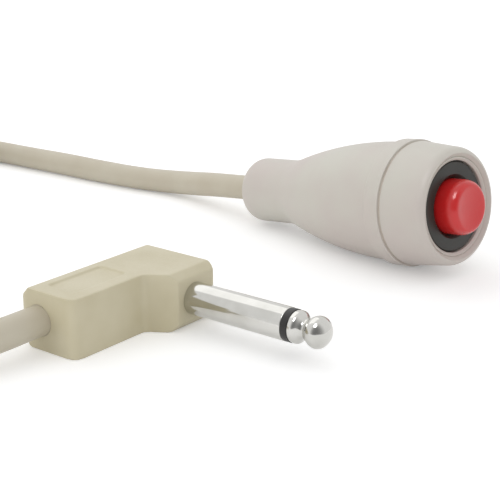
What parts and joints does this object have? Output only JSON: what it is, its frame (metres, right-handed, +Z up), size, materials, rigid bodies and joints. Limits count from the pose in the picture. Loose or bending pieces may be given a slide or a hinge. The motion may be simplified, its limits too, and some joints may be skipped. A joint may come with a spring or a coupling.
{
  "type": "nurse call button",
  "caption": "Bell-shaped nurse call handset with a red push button, on a round cord that ends in a right-angle jack plug.",
  "frame": {"origin": "on the table, under the middle of the handset's bounding box, with the handset lying on the swelling of its bell", "axes": "+Z up; +X is the handset's axis seen from above, from the cord end to the button; the axis itself rises 7.5 degrees towards the button"},
  "size_m": [0.2405, 0.1349, 0.0277],
  "materials": {
    "abs_shell": "warm light grey ABS, satin with a fine moulded grain",
    "seal_rubber": "dark grey flat rubber seal",
    "black_nylon": "black glass-filled nylon, satin",
    "gasket_rubber": "black rubber gasket",
    "zinc_steel": "bright zinc-plated steel",
    "red_button": "glossy moulded red ABS",
    "natural_acetal": "natural acetal",
    "spring_steel": "plain spring steel wire",
    "brass_strip": "stamped brass strip",
    "silver_contact": "silver contact rivets",
    "phenolic": "brown phenolic board",
    "soft_pvc_grey": "soft grey PVC grommet",
    "cord_pvc": "beige-grey PVC cord jacket, satin",
    "wire_red": "red PVC insulation",
    "wire_blue": "blue PVC insulation",
    "solder": "tin solder",
    "shrink_black": "black heat-shrink sleeve",
    "tie_nylon": "dark grey hook-and-loop strap",
    "plug_pvc": "cream moulded PVC, satin",
    "plug_core_pp": "off-white polypropylene core",
    "nickel_pin": "bright nickel-plated brass",
    "pin_black": "black insulating ring",
    "tinned_lug": "stamped brass lug"
  },
  "bodies": {
    "root": {"bell_housing": "abs_shell", "front_cap": "abs_shell", "cap_seal": "seal_rubber", "switch_bushing": "black_nylon", "flange_gasket": "gasket_rubber", "lock_washer": "zinc_steel", "barrel_nut": "zinc_steel", "return_spring": "spring_steel", "switch_base": "phenolic", "terminal_left": "brass_strip", "terminal_right": "brass_strip", "terminal_rivets": "silver_contact", "cord_grommet": "soft_pvc_grey", "anchor_washer": "zinc_steel", "cord_ferrule": "brass_strip", "jacket_end": "cord_pvc", "conductor_live": "wire_red", "conductor_return": "wire_blue", "switch_solder": "solder", "lug_sleeves": "shrink_black", "cord_lead": "cord_pvc", "cord_coil": "cord_pvc", "cord_tail": "cord_pvc", "coil_ties": "tie_nylon", "plug_body": "plug_pvc", "plug_core": "plug_core_pp", "plug_sleeve": "nickel_pin", "plug_insulator": "pin_black", "plug_tip": "nickel_pin", "plug_rear_washer": "pin_black", "plug_tip_lug": "tinned_lug", "plug_sleeve_lug": "tinned_lug", "plug_jacket_end": "cord_pvc", "plug_conductors": "wire_red", "plug_solder": "solder"},
    "button": {"button": "red_button", "button_stem": "natural_acetal", "stem_clip": "spring_steel", "contact_bridge": "brass_strip", "bridge_rivets": "silver_contact"}
  },
  "joints": [
    {"name": "button_press", "type": "slide", "parent": "root", "child": "button", "axis": [-0.9915, 0, -0.1299], "range_m": [0, 0.002], "stiffness_N_per_m": 500, "springref_m": -0.003, "deforming": ["return_spring"]}
  ]
}
